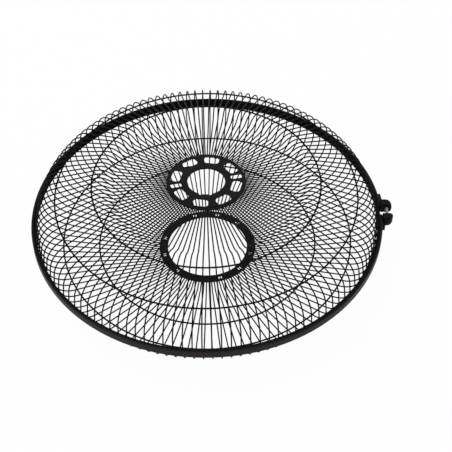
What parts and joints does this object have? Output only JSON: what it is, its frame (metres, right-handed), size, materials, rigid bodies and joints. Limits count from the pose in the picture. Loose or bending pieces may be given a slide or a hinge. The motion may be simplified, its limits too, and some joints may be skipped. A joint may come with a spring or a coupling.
{
  "type": "wire fan guard",
  "caption": "Round wire guard that closes around a fan: front and rear cages of radial spokes, hoops and a central disc or ring, held by a split rim band with a screw clamp.",
  "frame": {"origin": "on the fan axis, at the centre of the mounting disc's hole, in the plane where the disc sits on the rear spokes", "axes": "+Z along the fan axis to the rear, where the motor mounts; -Z to the front, on which the part lies; +X to the clamp on the rim"},
  "size_m": [0.4471, 0.434, 0.1251],
  "materials": {
    "coated_wire": "semi-gloss black coating over round steel wire",
    "coated_sheet": "satin black coating over pressed sheet steel",
    "band_sheet": "satin brown-black coating over rolled sheet steel",
    "clamp_lugs": "satin black coating",
    "zinc_plate": "bright zinc plating"
  },
  "bodies": {
    "root": {"rear_disc": "coated_sheet", "rear_hoop_inner": "coated_wire", "rear_hoop_outer": "coated_wire", "rear_rim": "coated_wire", "rear_spokes_1": "coated_wire", "rear_spokes_2": "coated_wire", "rear_spokes_3": "coated_wire", "rear_spokes_4": "coated_wire", "rear_spokes_5": "coated_wire", "rear_spokes_6": "coated_wire", "rear_spokes_7": "coated_wire", "rear_spokes_8": "coated_wire", "badge_ring": "coated_sheet", "front_hoop_inner": "coated_wire", "front_hoop_outer": "coated_wire", "front_rim": "coated_wire", "front_spokes_1": "coated_wire", "front_spokes_2": "coated_wire", "front_spokes_3": "coated_wire", "front_spokes_4": "coated_wire", "front_spokes_5": "coated_wire", "front_spokes_6": "coated_wire", "front_spokes_7": "coated_wire", "front_spokes_8": "coated_wire", "rim_band": "band_sheet", "clamp_lug_plain": "clamp_lugs", "clamp_lug_tapped": "clamp_lugs", "clamp_screw": "zinc_plate", "screw_washer": "zinc_plate"}
  },
  "joints": []
}
